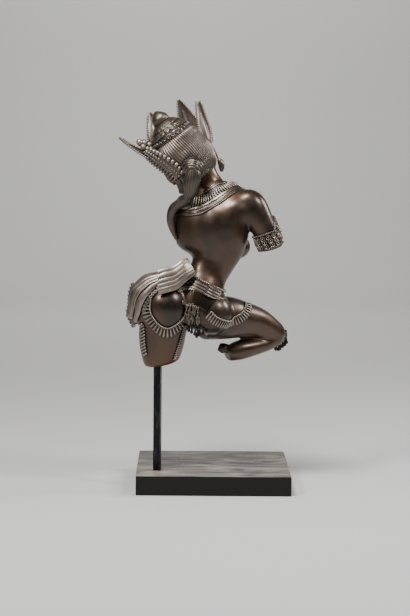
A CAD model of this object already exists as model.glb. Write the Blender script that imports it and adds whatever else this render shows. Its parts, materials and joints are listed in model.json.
import json
import math

import bmesh
import bpy
import numpy as np
from mathutils import Matrix, Vector
from mathutils.bvhtree import BVHTree

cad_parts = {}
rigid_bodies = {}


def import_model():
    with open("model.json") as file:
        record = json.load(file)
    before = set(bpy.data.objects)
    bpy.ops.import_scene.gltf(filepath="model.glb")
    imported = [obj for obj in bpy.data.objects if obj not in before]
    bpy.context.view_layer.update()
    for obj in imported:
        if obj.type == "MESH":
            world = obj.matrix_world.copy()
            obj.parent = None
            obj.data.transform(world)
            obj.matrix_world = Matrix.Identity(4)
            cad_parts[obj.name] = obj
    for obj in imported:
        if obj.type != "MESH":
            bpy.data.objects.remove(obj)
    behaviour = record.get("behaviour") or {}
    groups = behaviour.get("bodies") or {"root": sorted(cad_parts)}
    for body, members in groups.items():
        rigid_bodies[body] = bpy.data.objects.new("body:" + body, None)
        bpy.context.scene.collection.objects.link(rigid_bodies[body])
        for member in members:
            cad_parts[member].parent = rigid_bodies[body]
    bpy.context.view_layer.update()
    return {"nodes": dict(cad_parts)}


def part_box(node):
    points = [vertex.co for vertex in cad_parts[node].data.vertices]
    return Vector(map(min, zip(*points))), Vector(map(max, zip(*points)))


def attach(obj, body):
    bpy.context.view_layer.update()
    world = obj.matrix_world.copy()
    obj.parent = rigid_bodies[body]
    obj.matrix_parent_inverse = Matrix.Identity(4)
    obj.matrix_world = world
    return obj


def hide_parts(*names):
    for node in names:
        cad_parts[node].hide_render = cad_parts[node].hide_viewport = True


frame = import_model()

# The block. A low slab of blackened wood with a square socket for the rod. Its sides are
# black, and wax and handling have turned the grain of its upper face grey. It is the part's
# own solid and only gets its finish here.
WOOD_BLACK = (0.004, 0.0036, 0.0032, 1)
TOP_DARK = (0.045, 0.040, 0.036, 1)
TOP_WORN = (0.25, 0.22, 0.185, 1)
WOOD_STREAKS, WOOD_SPECKS = 9, 240
WOOD_STRETCH, WOOD_TURN = (1.0, 4.0, 4.0), math.radians(14)
WOOD_SHEEN = 0.3
WOOD_RELIEF, WOOD_RELIEF_DEPTH = 0.15, 0.0006
# ranges of a pattern or a slope, and what they become
WORN_GRAIN, UPWARD_FACES, WAXED_SPECKS = (0.38, 0.66), (0.5, 0.9), (0.3, 0.7, 0.34, 0.5)


def feed(tree, made, links):
    """Gives each named socket of a node its value, or joins what feeds it."""
    for socket, source in links.items():
        if isinstance(source, bpy.types.NodeSocket):
            tree.links.new(source, made.inputs[socket])
        else:
            made.inputs[socket].default_value = source


def node(tree, kind, links, **settings):
    """A shader or geometry node with its settings and what feeds each of its sockets."""
    made = tree.nodes.new(kind)
    for key, value in settings.items():
        setattr(made, key, value)
    feed(tree, made, links)
    return made


def blended(tree, share, low, high):
    """A colour mixed between two, by a share from 0 to 1."""
    return node(tree, "ShaderNodeMix", {0: share, 6: low, 7: high}, data_type='RGBA').outputs[2]


def spread(tree, value, low, high, to_low=0.0, to_high=1.0):
    """A value stretched from one range to another, and kept inside it."""
    links = {"Value": value, "From Min": low, "From Max": high, "To Min": to_low, "To Max": to_high}
    return node(tree, "ShaderNodeMapRange", links).outputs["Result"]


def piece_places(tree):
    """Places on the piece, in metres."""
    return node(tree, "ShaderNodeTexCoord", {}).outputs["Object"]


def stretched(tree, places, scale, turn=0.0):
    """The places drawn out and turned, for a grain."""
    links = {"Vector": places, "Scale": scale, "Rotation": (0, 0, turn)}
    return node(tree, "ShaderNodeMapping", links).outputs[0]


def noise(tree, places, scale, detail, **more):
    """A soft uneven pattern over the places."""
    links = {"Vector": places, "Scale": scale, "Detail": detail, **more}
    return node(tree, "ShaderNodeTexNoise", links).outputs[0]


def relief(tree, height, strength, depth):
    """The way out of a skin that has a fine relief."""
    links = {"Height": height, "Strength": strength, "Distance": depth}
    return node(tree, "ShaderNodeBump", links).outputs[0]


def new_material(name):
    """An empty material with a Principled shader at its end."""
    material = bpy.data.materials.new(name)
    material.use_nodes = True
    tree = material.node_tree
    return material, tree, tree.nodes["Principled BSDF"]


def finish(piece, material):
    """Gives a piece its one material."""
    piece.data.materials.clear()
    piece.data.materials.append(material)


def block_finish():
    """Black sides, and a grey grained top under wax."""
    material, tree, shader = new_material("blackened_wood")
    places = piece_places(tree)
    long = stretched(tree, places, WOOD_STRETCH, WOOD_TURN)
    grain = noise(tree, long, WOOD_STREAKS, 6, Distortion=1.6)
    specks = noise(tree, places, WOOD_SPECKS, 3)
    facing = node(tree, "ShaderNodeNewGeometry", {}).outputs["Normal"]
    upward = node(tree, "ShaderNodeSeparateXYZ", {"Vector": facing}).outputs["Z"]
    top = blended(tree, spread(tree, grain, *WORN_GRAIN), TOP_DARK, TOP_WORN)
    feed(tree, shader, {
        "Base Color": blended(tree, spread(tree, upward, *UPWARD_FACES), WOOD_BLACK, top),
        "Roughness": spread(tree, specks, *WAXED_SPECKS),
        "Specular IOR Level": WOOD_SHEEN,
        "Normal": relief(tree, grain, WOOD_RELIEF, WOOD_RELIEF_DEPTH),
    })
    return material


finish(frame["nodes"]["base"], block_finish())

# The rod. A square mild steel bar, blackened and oiled, standing in the block's socket
# and running up into the thigh. It is the part's own solid too.
STEEL_BLACK = (0.016, 0.016, 0.018, 1)
STEEL_RUBBED = (0.07, 0.068, 0.066, 1)
STEEL_SPECKS, STEEL_STRETCH = 160, (1.0, 1.0, 0.2)
STEEL_METAL = 0.9
RUBBED_SCALE, OILED_SCALE = (0.5, 0.72), (0.3, 0.7, 0.28, 0.5)
ROD_IN_FIGURE = 0.0297
rod_low, rod_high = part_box("rod")


def rod_finish():
    """Mill scale under black oil, a little rubbed."""
    material, tree, shader = new_material("blackened_steel")
    scale = noise(tree, stretched(tree, piece_places(tree), STEEL_STRETCH), STEEL_SPECKS, 5)
    feed(tree, shader, {
        "Base Color": blended(tree, spread(tree, scale, *RUBBED_SCALE), STEEL_BLACK, STEEL_RUBBED),
        "Roughness": spread(tree, scale, *OILED_SCALE),
        "Metallic": STEEL_METAL,
    })
    return material


finish(frame["nodes"]["rod"], rod_finish())

# The casting's body. Torso, neck, limbs and hip cloth were one wax, cast hollow in bronze;
# both arms, the left leg and the right foot broke off later. It is drawn in shares of the
# figure's height, with its zero at the rod's mouth in the left thigh, y away from its back.
FIGURE_SHARES = 461.2
mouth = Vector(((rod_low[0] + rod_high[0]) / 2, (rod_low[1] + rod_high[1]) / 2,
                rod_high[2] - ROD_IN_FIGURE))
SHARE = (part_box("figure")[1][2] - mouth.z) / FIGURE_SHARES
PLACE = Matrix.Translation(mouth) @ Matrix.Scale(SHARE, 4)
SHARP = math.radians(55)
BODY_GRAIN, BODY_PASSES = 2.0, 26
TORSO_SIDES, TORSO_SQUARENESS = 56, 2.2
HEAD = (42, 20, 369)
# x, y, z, half width across the view, half depth, turn in degrees
TORSO = [
    (66, -4, 82, 38, 40, 0), (68, -6, 112, 46, 42, 0), (75, -4, 138, 39, 37, 0),
    (84, 0, 160, 34, 30, 0), (93, 2, 180, 37, 28, -4), (96, 4, 199, 50, 34, -10),
    (94, 4, 220, 62, 40, -14), (89, 4, 243, 65, 42, -16), (91, 6, 268, 65, 38, -16),
    (95, 9, 286, 58, 30, -12), (92, 12, 300, 40, 24, -6), (88, 15, 311, 27, 20, 0),
]
NECK = [
    (88, 14, 304, 30, 22, 0), (83, 16, 318, 26, 20, 0),
    (HEAD[0] + 36, HEAD[1] - 3, HEAD[2] - 37, 22, 21, 0),
    (HEAD[0] + 28, HEAD[1] - 2, HEAD[2] - 21, 26, 25, 0),
]
RIGHT_ARM = [
    (140, 0, 290, 20, 22, 0), (157, -4, 283, 25, 24, 0), (169, -6, 261, 25, 23, 0),
    (180, -6, 242, 22, 21, 0), (188, -5, 225, 21, 20, 0), (194, -4, 206, 20, 19, 0),
]
LEFT_SHOULDER = [(52, 12, 278, 21, 20, 0), (49, 34, 277, 20, 19, 0), (47, 52, 274, 18, 17, 0)]
LEFT_THIGH = [
    (18, -14, 128, 34, 36, 0), (13, -14, 98, 41, 39, 0), (8, -8, 64, 41, 36, 0),
    (6, -3, 36, 38, 33, 0), (5, 0, 14, 32, 28, 0), (6, 1, 6, 27, 23, 0),
]
RIGHT_THIGH = [
    (76, 2, 86, 38, 36, 0), (116, 22, 85, 38, 33, 0), (144, 42, 80, 33, 30, 0),
    (170, 60, 73, 28, 26, 0), (191, 75, 60, 25, 24, 0), (208, 86, 46, 20, 20, 0),
    (216, 90, 38, 12, 13, 0),
]
RIGHT_CALF = [
    (210, 84, 44, 15, 18, 0), (190, 74, 34, 14, 20, 0), (166, 62, 29, 16, 21, 0),
    (146, 50, 26, 18, 20, 0), (130, 42, 22, 16, 17, 0), (120, 37, 19, 13, 14, 0),
]
CALF_STUB = [(128, 43, 25, 8, 8, 0), (115, 36, 29, 8.5, 8, 0), (107, 32, 32, 5.5, 5, 0)]
HIP_CLOTH = [
    (16, -6, 164, 9, 22, 0), (6, -8, 154, 13, 30, 0), (-6, -8, 143, 24, 35, 0),
    (-10, -8, 133, 32, 37, 0), (-12, -8, 124, 35, 38, 0), (-14, -8, 98, 34, 35, 0),
    (-14, -6, 84, 32, 32, 0),
]
# centre, radii, roll in degrees
ROUND_MASSES = [
    ((48, -6, 114), (72, 38, 43), 22), ((15, -24, 107), (40, 37, 42), 0),
    ((92, -16, 96), (36, 34, 36), 0), ((135, 32, 208), (24, 23, 22), 0),
    ((84, 46, 204), (24, 23, 22), 0), ((132, -7, 269), (36, 27, 30), -20),
    ((134, 2, 288), (24, 21, 20), 20), ((122, 6, 291), (34, 21, 27), 25),
    ((-41, -12, 92), (10, 13, 19), 0),
]
# soft swellings and hollows of the skin: middle, radius, height
SWELLS = [
    ((120, -36, 274), 24, 2.5), ((62, -26, 262), 22, 2.0), ((112, -30, 240), 22, -1.5),
    ((66, -34, 190), 22, 1.5), ((176, 48, 40), 16, 1.5), ((214, 92, 62), 14, 2.0),
]
SPINE = [(84, 292), (79, 262), (80, 235), (86, 208), (89, 186), (84, 166)]
SPINE_DEPTH, SPINE_WIDTH, SPINE_FADE = 1.2, 9, 10
# the right shoulder blade, where the masses under the skin would show: middle, reach, passes
EASED_SPOT = ((130, -14, 276), (26, 50), 70)


def blend(a, b, c, d, t):
    """A point on the smooth curve from b to c, whose neighbours are a and d."""
    return 0.5 * (2 * b + (c - a) * t + (2 * a - 5 * b + 4 * c - d) * t * t
                  + (3 * b - a - 3 * c + d) * t ** 3)


def between(stations, steps=6):
    """The stations with smooth steps between them."""
    last = len(stations) - 1
    rows = []
    for i in range(last):
        around = [stations[min(max(i + k, 0), last)] for k in (-1, 0, 1, 2)]
        for step in range(steps):
            rows.append([blend(*four, step / steps) for four in zip(*around)])
    rows.append(list(stations[-1]))
    return rows


def join_rings(bm, rings, closed=False):
    """Faces between each ring of vertices and the next, and round to the first if closed."""
    for low, high in zip(rings, rings[1:] + (rings[:1] if closed else [])):
        for k in range(len(low)):
            n = (k + 1) % len(low)
            bm.faces.new((low[k], low[n], high[n], high[k]))


def powered(value, power):
    """A value between -1 and 1 raised to a power, with its sign kept."""
    return math.copysign(abs(value) ** power, value)


def add_limb(bm, stations, sides=32, squareness=2.0, steps=6, fold=None):
    """A closed loft along the stations, with rings square to the path. fold gives how much
    a ring swells at an angle and at a share of the length."""
    rows = between(stations, steps)
    centres = [Vector(row[:3]) for row in rows]
    rings = []
    for i, row in enumerate(rows):
        along = (centres[min(i + 1, len(rows) - 1)] - centres[max(i - 1, 0)]).normalized()
        deep = Vector((0, 1, 0))
        deep = (deep - along * deep.dot(along)).normalized()
        wide = deep.cross(along)
        spin = Matrix.Rotation(math.radians(row[5]), 3, along)
        ring = []
        for k in range(sides):
            angle = math.tau * k / sides
            swell = 1 if fold is None else fold(angle, i / (len(rows) - 1))
            reach = (wide * row[3] * powered(math.cos(angle), 2 / squareness)
                     + deep * row[4] * powered(math.sin(angle), 2 / squareness)) * swell
            ring.append(bm.verts.new(centres[i] + spin @ reach))
        rings.append(ring)
    join_rings(bm, rings)
    for ring, turned in ((rings[0], True), (rings[-1], False)):
        hub = bm.verts.new(sum((v.co for v in ring), Vector()) / sides)
        for k in range(sides):
            pair = (ring[k], ring[(k + 1) % sides])
            bm.faces.new((hub, *(pair[::-1] if turned else pair)))


def add_ball(bm, centre, radii, roll=0, frame_at=Matrix.Identity(4), segments=40):
    """An ellipsoid, in shares or in the frame given."""
    matrix = (frame_at @ Matrix.Translation(centre)
              @ Matrix.Rotation(math.radians(roll), 4, 'Y') @ Matrix.Diagonal((*radii, 1)))
    bmesh.ops.create_uvsphere(bm, u_segments=segments, v_segments=segments * 5 // 8, radius=1,
                              matrix=matrix)


def mesh_of(bm, name):
    """What was drawn, as a mesh."""
    mesh = bpy.data.meshes.new(name)
    bm.to_mesh(mesh)
    bm.free()
    return mesh


def shown(name, data):
    """A new object in the scene for a mesh, a light or a camera."""
    made = bpy.data.objects.new(name, data)
    bpy.context.scene.collection.objects.link(made)
    return made


def made_from(bm, name):
    """The object of a closed mesh drawn in shares."""
    bmesh.ops.recalc_face_normals(bm, faces=bm.faces)
    return shown(name, mesh_of(bm, name))


def applied(made):
    """The object with its modifiers' result as its plain mesh."""
    graph = bpy.context.evaluated_depsgraph_get()
    result = bpy.data.meshes.new_from_object(made.evaluated_get(graph))
    made.modifiers.clear()
    old, made.data = made.data, result
    bpy.data.meshes.remove(old)
    return made


def smoothed(made, passes, group=""):
    """The object with its skin eased, all over or by the weights of a group."""
    ease = made.modifiers.new("ease", 'SMOOTH')
    ease.factor = 0.5
    ease.iterations = passes
    ease.vertex_group = group
    return applied(made)


def fused(made, grain, passes):
    """One skin over all the shells, with its creases eased."""
    fuse = made.modifiers.new("fuse", 'REMESH')
    fuse.mode = 'VOXEL'
    fuse.voxel_size = grain
    return smoothed(made, passes)


def ramp(value, low, high):
    """0 below low, 1 above high, and smooth between, for an array of values."""
    share = np.clip((value - low) / (high - low), 0, 1)
    return share * share * (3 - 2 * share)


def band(value, low, high, edge):
    """1 between low and high, 0 outside, with soft edges."""
    return ramp(value, low - edge, low + edge) * (1 - ramp(value, high - edge, high + edge))


def points_and_normals(made):
    """The mesh's points and their normals as arrays."""
    count = len(made.data.vertices)
    points, normals = np.empty(count * 3), np.empty(count * 3)
    made.data.vertices.foreach_get("co", points)
    made.data.vertex_normals.foreach_get("vector", normals)
    return points.reshape(-1, 3), normals.reshape(-1, 3)


def raised(made, heights):
    """The object with its skin moved along its normals by a height for each point."""
    points, normals = points_and_normals(made)
    points = points + normals * heights[:, None]
    made.data.vertices.foreach_set("co", points.ravel())
    made.data.update()
    return made


def softened(made, weights, passes):
    """The object with its skin smoothed, by a weight for each point."""
    group = made.vertex_groups.new(name="soft")
    for index in np.flatnonzero(weights > 0):
        group.add([int(index)], float(weights[index]), 'REPLACE')
    smoothed(made, passes, group.name)
    made.vertex_groups.clear()


def body_heights(points):
    """Swellings and hollows of the skin, and the furrow of the spine."""
    heights = np.zeros(len(points))
    for middle, radius, height in SWELLS:
        far = np.linalg.norm(points - np.array(middle), axis=1)
        heights += height * np.exp(-(far / radius) ** 2)
    levels = np.array([z for _, z in SPINE[::-1]])
    middle = np.interp(points[:, 2], levels, np.array([x for x, _ in SPINE[::-1]]))
    here = band(points[:, 2], levels[0], levels[-1], SPINE_FADE) * (points[:, 1] < 0)
    heights -= SPINE_DEPTH * here * np.exp(-((points[:, 0] - middle) / SPINE_WIDTH) ** 2)
    return heights


def make_body():
    """All the limbs fused into one skin, with its soft forms."""
    bm = bmesh.new()
    for centre, radii, roll in ROUND_MASSES:
        add_ball(bm, centre, radii, roll)
    add_limb(bm, TORSO, sides=TORSO_SIDES, squareness=TORSO_SQUARENESS)
    for stations in (NECK, RIGHT_ARM, LEFT_SHOULDER, LEFT_THIGH, RIGHT_THIGH, RIGHT_CALF,
                     HIP_CLOTH):
        add_limb(bm, stations)
    made = fused(made_from(bm, "bronze_body"), BODY_GRAIN, BODY_PASSES)
    middle, reach, passes = EASED_SPOT
    points, _ = points_and_normals(made)
    far = np.linalg.norm(points - np.array(middle), axis=1)
    softened(made, 1 - ramp(far, *reach), passes)
    points, _ = points_and_normals(made)
    return raised(made, body_heights(points))


# The bronze itself, for all that is cast with the body. A dark brown patina that is warm
# where it is thin, rubbed to grey beige on the high places, with dirt in the hollows.
BRONZE_DARK = (0.013, 0.009, 0.007, 1)
BRONZE_WARM = (0.080, 0.040, 0.020, 1)
BRONZE_RUBBED = (0.27, 0.225, 0.185, 1)
BRONZE_DIRT = (0.005, 0.0035, 0.003, 1)
BRONZE_OCHRE = (0.075, 0.030, 0.009, 1)
# clouds, spots and pits to a metre
CLOUDS, SPOTS, PITS = 9, 60, 520
PIT_DEPTH, GROOVE_REACH = 0.0008, 0.004
OCHRE_LOW, OCHRE_HIGH = mouth.z + 0.008, mouth.z + 0.055
OCHRE_SIDE = mouth.x + 0.050
# ranges of a pattern or a form, and what they become
WARM_CLOUDS, BARE_SPOTS, WORN_SPOTS = (0.36, 0.66), (0.35, 0.65, 0.5, 1.0), (0.2, 0.7, 0.55, 1.0)
WORN_BULGES, CLEAN_FACES = (0.49, 0.56, 0.35, 1.0), (0.35, 0.9)
ROUGH_GROOVES, ROUGH_SPOTS = (0, 1, 0.3, 0.0), (0.3, 0.7, 0.32, 0.46)
BRONZE_METAL = 0.8
WAX_WEIGHT, WAX_ROUGHNESS, WAX_IOR = 0.35, 0.2, 1.5


def new_group(name, kind, takes, gives):
    """A node group, what enters it, and the identifiers of its sockets by their names."""
    tree = bpy.data.node_groups.new(name, kind)
    sockets = {}
    for way, wanted in (('INPUT', takes), ('OUTPUT', gives)):
        for title, sort in wanted.items():
            made = tree.interface.new_socket(title, in_out=way, socket_type="NodeSocket" + sort)
            sockets[title] = made.identifier
    return tree, tree.nodes.new("NodeGroupInput").outputs, sockets


def worked(tree, rule, first, second, **settings):
    """Two values put together by a rule."""
    return node(tree, "ShaderNodeMath", {0: first, 1: second}, operation=rule, **settings).outputs[0]


def patina_group():
    """Colour and roughness of old waxed bronze, from noise, hollows and worn places."""
    takes = {"Dark": "Color", "Warm": "Color", "Rubbed": "Color", "Rub": "Float",
             "Warmth": "Float", "Ochre": "Float"}
    gives = {"Color": "Color", "Roughness": "Float", "Height": "Float"}
    tree, into, _ = new_group("patina", "ShaderNodeTree", takes, gives)
    places = piece_places(tree)
    broad = noise(tree, places, CLOUDS, 3, Roughness=0.5, Distortion=0.4)
    spots = noise(tree, places, SPOTS, 5, Roughness=0.55)
    pits = noise(tree, places, PITS, 3)
    open_sky = node(tree, "ShaderNodeAmbientOcclusion", {"Distance": GROOVE_REACH},
                    samples=6).outputs["AO"]
    warm = worked(tree, 'MULTIPLY', spread(tree, broad, *WARM_CLOUDS), into["Warmth"], use_clamp=True)
    brown = blended(tree, warm, into["Dark"], into["Warm"])
    apart = node(tree, "ShaderNodeSeparateXYZ", {"Vector": places}).outputs
    low = spread(tree, apart["Z"], OCHRE_LOW, OCHRE_HIGH, 1, 0)
    bare = worked(tree, 'MULTIPLY', low, spread(tree, spots, *BARE_SPOTS))
    bare = worked(tree, 'MULTIPLY', bare, worked(tree, 'LESS_THAN', apart["X"], OCHRE_SIDE))
    bare = worked(tree, 'MULTIPLY', bare, into["Ochre"])
    brown = blended(tree, bare, brown, BRONZE_OCHRE)
    bulge = node(tree, "ShaderNodeNewGeometry", {}).outputs["Pointiness"]
    high = worked(tree, 'MULTIPLY', spread(tree, bulge, *WORN_BULGES),
                  spread(tree, spots, *WORN_SPOTS))
    worn = worked(tree, 'MULTIPLY', high, into["Rub"], use_clamp=True)
    rubbed = blended(tree, worn, brown, into["Rubbed"])
    clean = spread(tree, open_sky, *CLEAN_FACES)
    node(tree, "NodeGroupOutput", {
        "Color": blended(tree, clean, BRONZE_DIRT, rubbed),
        "Roughness": worked(tree, 'ADD', spread(tree, clean, *ROUGH_GROOVES),
                            spread(tree, spots, *ROUGH_SPOTS)),
        "Height": worked(tree, 'ADD', pits, spots),
    })
    return tree


PATINA = patina_group()


def bronze(name, rub, warmth, pitting=0.12, ochre=0.0):
    """A bronze finish with its own amount of rubbing and warmth."""
    material, tree, shader = new_material(name)
    patina = node(tree, "ShaderNodeGroup", {
        "Dark": BRONZE_DARK, "Warm": BRONZE_WARM, "Rubbed": BRONZE_RUBBED, "Rub": rub,
        "Warmth": warmth, "Ochre": ochre}, node_tree=PATINA).outputs
    feed(tree, shader, {
        "Base Color": patina["Color"], "Roughness": patina["Roughness"],
        "Normal": relief(tree, patina["Height"], pitting, PIT_DEPTH), "Metallic": BRONZE_METAL,
        "Coat Weight": WAX_WEIGHT, "Coat Roughness": WAX_ROUGHNESS, "Coat IOR": WAX_IOR,
    })
    return material


skin_bronze = bronze("bronze_skin", 0.2, 1.0, ochre=0.9)
carved_bronze = bronze("bronze_carved", 0.6, 0.5)
leaf_bronze = bronze("bronze_leaves", 0.95, 0.5)
band_bronze = bronze("bronze_bands", 0.35, 0.7)
bright_bronze = bronze("bronze_rubbed", 1.9, 0.4, 0.06)
dark_bronze = bronze("bronze_dark", 0.05, 0.3)


def cast(made, material):
    """Sets a finished piece, drawn in shares, in its place on the figure."""
    made.data.transform(PLACE)
    made.data.shade_smooth()
    made.data.set_sharp_from_angle(angle=SHARP)
    finish(made, material)
    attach(made, "root")


def surface_of(made):
    """The object's skin, to lay things on."""
    points, _ = points_and_normals(made)
    return BVHTree.FromPolygons([Vector(p) for p in points],
                                [tuple(p.vertices) for p in made.data.polygons])


def make_stub():
    """What is left of the support at the broken calf, black and ragged at its end."""
    bm = bmesh.new()

    def ragged(angle, share):
        return 1 + share * (0.2 * math.sin(3 * angle) + 0.13 * math.sin(5 * angle))
    add_limb(bm, CALF_STUB, fold=ragged)
    return made_from(bm, "calf_stub")


body = make_body()
skin = surface_of(body)
cast(body, skin_bronze)
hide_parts("figure")
cast(make_stub(), dark_bronze)

# The head. The face is a calm one of plain proportions with lowered lids; the ears are
# long, with heavy rings. It was modelled in the same wax as the body.
HEAD_LEAN = math.radians(30)
CROWN_LEAN = math.radians(36)
HEAD_TURN = math.radians(8)
HEAD_GRAIN, HEAD_PASSES = 1.1, 8
# right, forward and up from the head's middle, then radii
SKULL = [((-3, -3, 2), (44, 44, 41)), ((5, -4, -10), (40, 39, 36)), ((9, -7, -24), (32, 31, 30)),
         ((-1, 9, -14), (35, 33, 43)), ((0, 25, -45), (15, 13, 11)), ((0, 24, -34), (25, 18, 16))]
FEATURES = [((0, 40, -26), (9, 5, 3)), ((0, 39.5, -31), (7.5, 5, 3.2)), ((0, 37, 8), (20, 6, 4))]
PAIRED = [((13.5, 35.5, -2), (8.5, 5.5, 4.6)), ((14, 37, 6), (10, 4, 2)),
          ((19, 24, -18), (12, 13, 14)), ((42, 2, -22), (6, 8, 14)), ((40, 2, -34), (4, 5, 7))]
NOSE = [(0, 37, 5, 3.4, 3, 0), (0, 44, -8, 4, 4, 0), (0, 46.5, -14, 5, 5, 0), (0, 44, -18, 6, 4, 0)]


def head_frame(lean):
    """Right, forward and up, as columns, at the head's middle, for a lean to its left."""
    return (Matrix.Translation(HEAD) @ Matrix.Rotation(-lean, 4, 'Y')
            @ Matrix.Rotation(HEAD_TURN, 4, 'Z'))


AT_HEAD, AT_CROWN = head_frame(HEAD_LEAN), head_frame(CROWN_LEAN)
CROWN_TURN = AT_CROWN.to_3x3()


def make_head():
    """Skull, face and ears in one skin."""
    bm = bmesh.new()
    for centre, radii in SKULL + FEATURES:
        add_ball(bm, centre, radii, frame_at=AT_HEAD)
    for (right, forward, up), radii in PAIRED:
        for side in (-1, 1):
            add_ball(bm, (side * right, forward, up), radii, frame_at=AT_HEAD, segments=24)
    rows = []
    for right, forward, up, wide, deep, turn in NOSE:
        rows.append((*(AT_HEAD @ Vector((right, forward, up))), wide, deep, turn))
    add_limb(bm, rows, sides=20)
    return fused(made_from(bm, "head"), HEAD_GRAIN, HEAD_PASSES)


cast(make_head(), skin_bronze)

# The hair, combed tight from the cover over the crown in fine strands, all of which run
# together at the bun on the nape.
HAIR_STRANDS, HAIR_SIDES, HAIR_STEPS = 62, 8, 70
HAIR_RISE, HAIR_THICK, HAIR_DIVE = 1.3, 2.2, 6
HAIR_GRAIN, HAIR_PASSES, HAIR_EASING = 1.6, 12, 6
HAIR_PARTS = [((-3, -3, 2), (44, 44, 41)), ((5, -4, -10), (40, 39, 36)),
              ((9, -7, -24), (32, 31, 30)), ((0, -2, 22), (40, 40, 18)),
              ((6, -6, -40), (22, 26, 24))]
HAIR_POLE = (0, -2, 36)
NAPE_POLE = (12, -18, -52)
HAIR_EDGE = (math.radians(97), math.radians(106))


def skin_over(bm, rings):
    """Faces between rings of vertices, closed at both ends."""
    join_rings(bm, rings)
    bm.faces.new(rings[0][::-1])
    bm.faces.new(rings[-1])


def hair_form():
    """The smooth form under the strands."""
    bm = bmesh.new()
    for centre, radii in HAIR_PARTS:
        add_ball(bm, centre, [radius + HAIR_THICK for radius in radii], segments=48)
    return fused(made_from(bm, "hair_form"), HAIR_GRAIN, HAIR_PASSES)


def make_hair(form):
    """Strands over the form, each in a plane through both poles. The shell covers the back
    of the skull, and before the ears it dives under the skin."""
    surface = surface_of(form)
    top, low = Vector(HAIR_POLE), Vector(NAPE_POLE)
    chord = (low - top).normalized()
    side = (Vector((1, 0, 0)) - chord * chord.x).normalized()
    front = side.cross(chord)
    count = HAIR_STRANDS * HAIR_SIDES
    ways = [side * math.cos(math.tau * k / count) + front * math.sin(math.tau * k / count)
            for k in range(count)]
    hubs = [top.lerp(low, 0.5 - 0.5 * math.cos(math.pi * step / HAIR_STEPS))
            for step in range(HAIR_STEPS + 1)]
    far = np.array([[surface.ray_cast(hub, way)[3] for way in ways] for hub in hubs])
    for _ in range(HAIR_EASING):
        far = (np.roll(far, 1, axis=1) + 2 * far + np.roll(far, -1, axis=1)) / 4
        far[1:-1] = (far[:-2] + 2 * far[1:-1] + far[2:]) / 4
    bm = bmesh.new()
    rings = []
    for hub, row in zip(hubs, far):
        ring = []
        for k, (way, reach) in enumerate(zip(ways, row)):
            spot = hub + way * reach
            under = float(ramp(abs(math.atan2(spot.x, -spot.y)), *HAIR_EDGE))
            strand = abs(math.cos(math.pi * k / HAIR_SIDES)) ** 0.6
            rise = HAIR_RISE * strand * (1 - under) - HAIR_DIVE * under
            ring.append(bm.verts.new(spot + way * rise))
        rings.append(ring)
    skin_over(bm, rings)
    made = made_from(bm, "combed_hair")
    made.data.transform(AT_CROWN)
    return made


form = hair_form()
cast(make_hair(form), leaf_bronze)
bpy.data.objects.remove(form)

# The cover of the hair knot, a small dome on the crown that ends in a turned knob, chased
# with scrolls over a band of rosettes.
COVER = [
    (29, 34), (31, 38), (34, 38), (37, 37), (41, 34.5), (44, 33), (44.6, 34), (45.6, 34),
    (46.2, 32), (50, 29), (55, 26), (59, 23), (62, 20), (63.4, 17.4), (64, 15.2), (64.8, 16.2),
    (65.8, 16.2), (66.6, 14.4), (68, 14.8), (70, 15), (72, 14.8), (74.5, 14), (77, 12.4),
    (79.5, 10.2), (82, 7.6), (84, 5.2), (85.4, 3), (86, 1),
]
COVER_BACK, COVER_SIDES = 2, 96


def ring_round(bm, hub, side, up, sides):
    """A ring of vertices round a hub, as wide and as high as the two ways given are long."""
    turns = [math.tau * k / sides for k in range(sides)]
    return [bm.verts.new(hub + side * math.cos(turn) + up * math.sin(turn)) for turn in turns]


def make_cover():
    """The dome and its knob, turned round the crown's axis."""
    bm = bmesh.new()
    rings = []
    for rise, radius in COVER:
        hub = AT_CROWN @ Vector((0, -COVER_BACK, rise))
        side, up = (CROWN_TURN @ Vector(way) for way in ((radius, 0, 0), (0, radius, 0)))
        rings.append(ring_round(bm, hub, side, up, COVER_SIDES))
    skin_over(bm, rings)
    return made_from(bm, "crown_cover")


cast(make_cover(), carved_bronze)

# The small parts that are repeated: beads, drops, bars, petals, rosettes and curls. Each
# is one low form of wax, and geometry nodes set it along the lines of the dress.
STOCKS = bpy.data.collections.new("stocks")
bpy.context.scene.collection.children.link(STOCKS)
# share of the length, share of the half width
DROP = [(0, 0.3), (0.06, 0.6), (0.2, 0.5), (0.45, 0.7), (0.75, 1.0), (0.92, 0.85), (1, 0.3)]
BAR = [(0, 0.5), (0.08, 0.9), (0.5, 1.0), (0.92, 0.9), (1, 0.5)]
PETAL = [(0, 0.45), (0.12, 0.85), (0.4, 1.0), (0.7, 0.8), (0.9, 0.5), (1, 0.15)]
# radius, rise
ROSETTE = [(1.0, -0.6), (1.0, 0.2), (0.86, 0.55), (0.68, 0.5), (0.54, 0.05), (0.4, 0.05),
           (0.3, 0.5), (0.1, 0.7)]
CURL_TURNS = 1.5


def stock_of(bm, name):
    """A small part kept ready to be set many times."""
    bmesh.ops.recalc_face_normals(bm, faces=bm.faces)
    made = bpy.data.objects.new(name, mesh_of(bm, name))
    STOCKS.objects.link(made)
    return made


def long_stock(name, profile, sides=8):
    """A part along y from 0 to 1, with a half width of 1."""
    bm = bmesh.new()
    skin_over(bm, [ring_round(bm, Vector((0, share, 0)), Vector((half, 0, 0)),
                              Vector((0, 0, half)), sides) for share, half in profile])
    return stock_of(bm, name)


def rosette_stock(sides=14):
    """A round flower with a raised rim and a boss, facing z."""
    bm = bmesh.new()
    rings = []
    for radius, rise in ROSETTE:
        ring = []
        for k in range(sides):
            reach = radius * (1 + 0.12 * (k % 2) * (radius > 0.6))
            angle = math.tau * k / sides
            ring.append(bm.verts.new((reach * math.cos(angle), reach * math.sin(angle), rise)))
        rings.append(ring)
    skin_over(bm, rings)
    return stock_of(bm, "rosette")


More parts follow.
